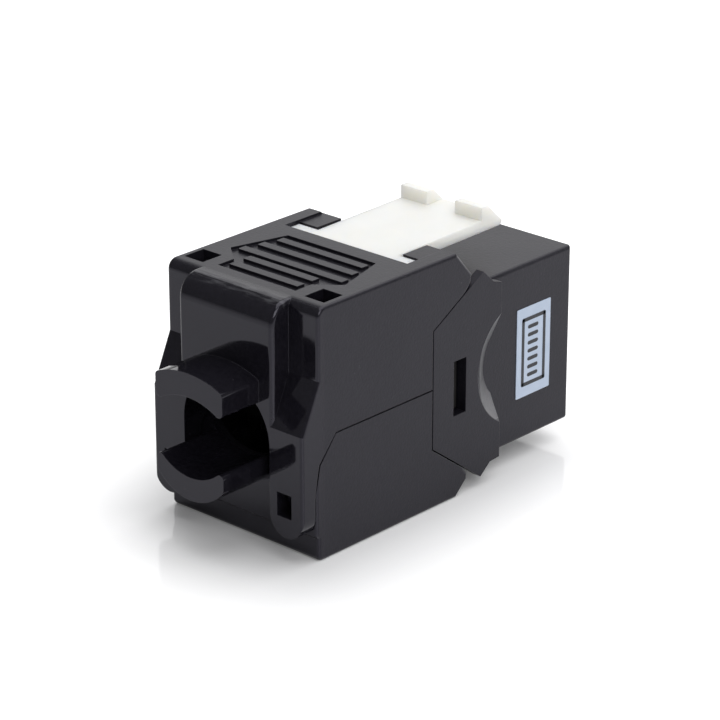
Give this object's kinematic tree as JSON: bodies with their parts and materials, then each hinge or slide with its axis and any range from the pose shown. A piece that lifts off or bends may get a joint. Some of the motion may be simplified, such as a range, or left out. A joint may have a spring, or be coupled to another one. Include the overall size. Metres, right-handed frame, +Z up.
{
  "type": "keystone jack",
  "caption": "Toolless keystone network jack: RJ45 socket in a black housing, white sprung panel latch, and hinged wiring covers that close over the contacts and clamp the cable.",
  "frame": {"origin": "middle of the whole jack's outline in X and Y, on the surface it stands on", "axes": "+Y along the plug's way out of the socket, +Z up towards the latch, X across"},
  "size_m": [0.0172, 0.0398, 0.0234],
  "materials": {
    "black_plastic": "satin sides, glossy rear",
    "block_plastic": "matt",
    "white_plastic": "satin",
    "insert_plastic": "matt",
    "board": "solder mask",
    "blade_metal": "tin-plated",
    "label": "printed film",
    "contact_gold": "gold-plated"
  },
  "bodies": {
    "jack_body": {"front_housing": "black_plastic", "contact_insert": "insert_plastic", "circuit_board": "board", "idc_block": "block_plastic", "idc_blade_1": "blade_metal", "idc_blade_2": "blade_metal", "idc_blade_3": "blade_metal", "idc_blade_4": "blade_metal", "idc_blade_5": "blade_metal", "idc_blade_6": "blade_metal", "idc_blade_7": "blade_metal", "idc_blade_8": "blade_metal", "contact_wire_1": "contact_gold", "contact_wire_2": "contact_gold", "contact_wire_3": "contact_gold", "contact_wire_4": "contact_gold", "contact_wire_5": "contact_gold", "contact_wire_6": "contact_gold", "contact_wire_7": "contact_gold", "contact_wire_8": "contact_gold"},
    "upper_cover": {"upper_cover": "black_plastic"},
    "lower_cover": {"lower_cover": "black_plastic"},
    "keystone_latch": {"keystone_latch": "white_plastic"}
  },
  "joints": [
    {"name": "upper_cover_hinge", "type": "hinge", "parent": "jack_body", "child": "upper_cover", "pos_m": [0, 0.0074, 0.0172], "axis": [1, 0, 0], "range_deg": [-85, 0]},
    {"name": "lower_cover_hinge", "type": "hinge", "parent": "jack_body", "child": "lower_cover", "pos_m": [0, 0.0074, 0.0036], "axis": [1, 0, 0], "range_deg": [0, 85]},
    {"name": "latch_press", "type": "hinge", "parent": "jack_body", "child": "keystone_latch", "pos_m": [0, -0.00017, 0.02065], "axis": [1, 0, 0], "range_deg": [-7, 0], "stiffness_Nm_per_rad": 0.002, "springref_deg": 1.15}
  ]
}
